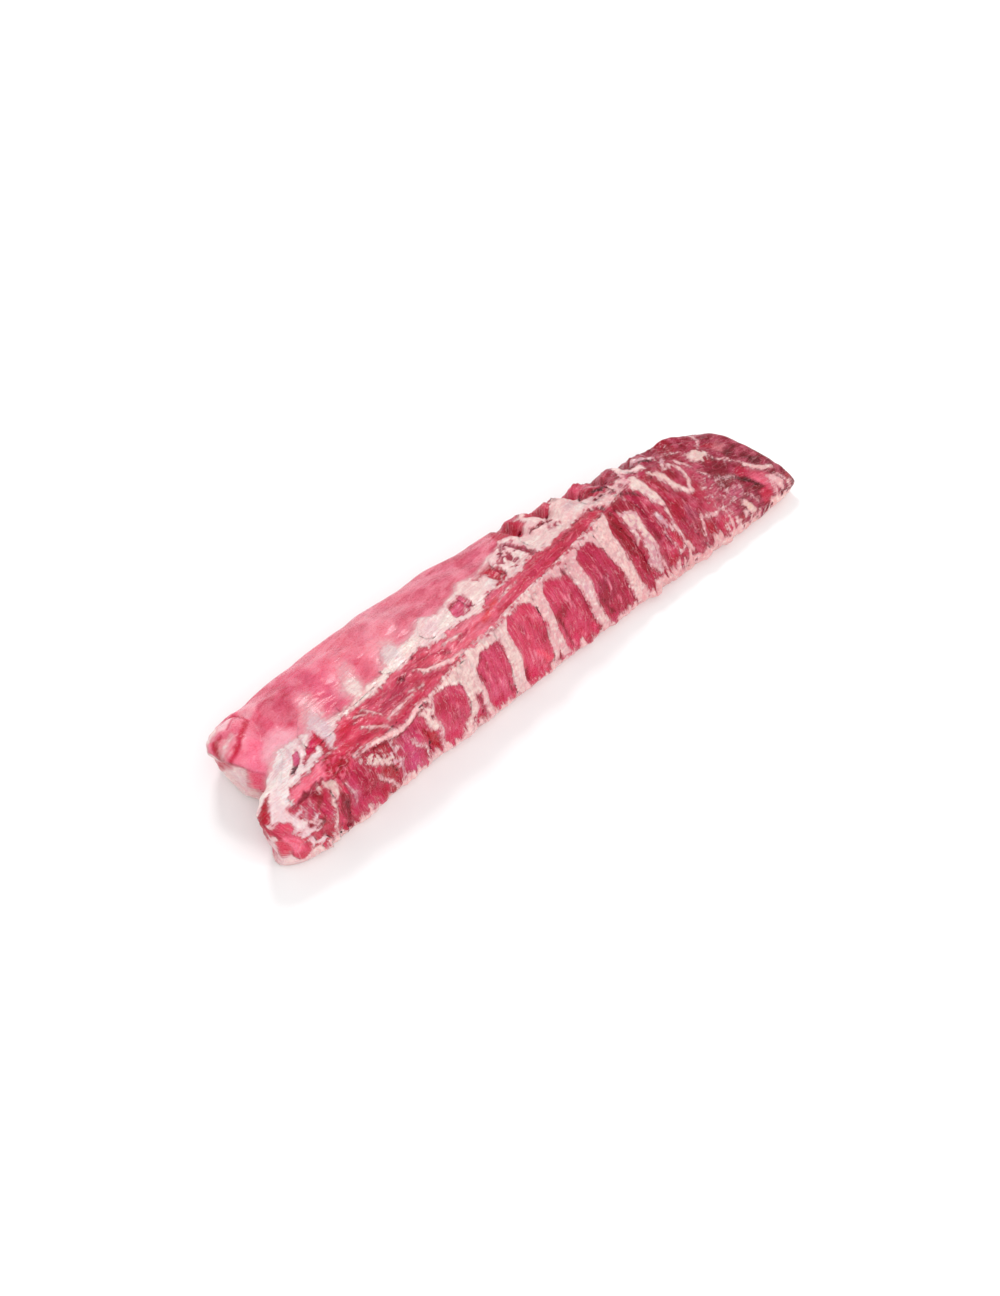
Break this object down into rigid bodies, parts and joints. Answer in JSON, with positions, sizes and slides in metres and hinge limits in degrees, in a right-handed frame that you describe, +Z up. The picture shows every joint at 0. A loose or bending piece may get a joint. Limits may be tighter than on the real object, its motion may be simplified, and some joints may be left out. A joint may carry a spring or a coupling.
{
  "type": "pork loin",
  "caption": "Whole bone-in pork loin lying on its fat side, with the ribs, the red crest muscle and the chine bones showing on top.",
  "frame": {"origin": "middle of the bounding box's base, on the surface that the loin lies on", "axes": "+X along the loin from the sirloin end to the shoulder end, +Y across it from the ribs to the smooth eye muscle, +Z up"},
  "size_m": [0.5588, 0.138, 0.071],
  "materials": {
    "lean_meat": "moist raw pork, pink lean with white fat and membrane",
    "dark_lean_meat": "moist raw pork, dark red and stringy",
    "bone": "pale pink bone under thin membrane"
  },
  "bodies": {
    "root": {"loin_meat": "lean_meat", "crest_muscle": "dark_lean_meat", "chine_bone_01": "bone", "chine_bone_02": "bone", "chine_bone_03": "bone", "chine_bone_04": "bone", "chine_bone_05": "bone", "chine_bone_06": "bone", "chine_bone_07": "bone", "chine_bone_08": "bone", "chine_bone_09": "bone", "chine_bone_10": "bone", "chine_bone_11": "bone", "chine_bone_12": "bone", "rib_01": "bone", "rib_02": "bone", "rib_03": "bone", "rib_04": "bone", "rib_05": "bone", "rib_06": "bone", "rib_07": "bone", "rib_08": "bone", "rib_09": "bone", "rib_10": "bone", "rib_11": "bone"}
  },
  "joints": []
}
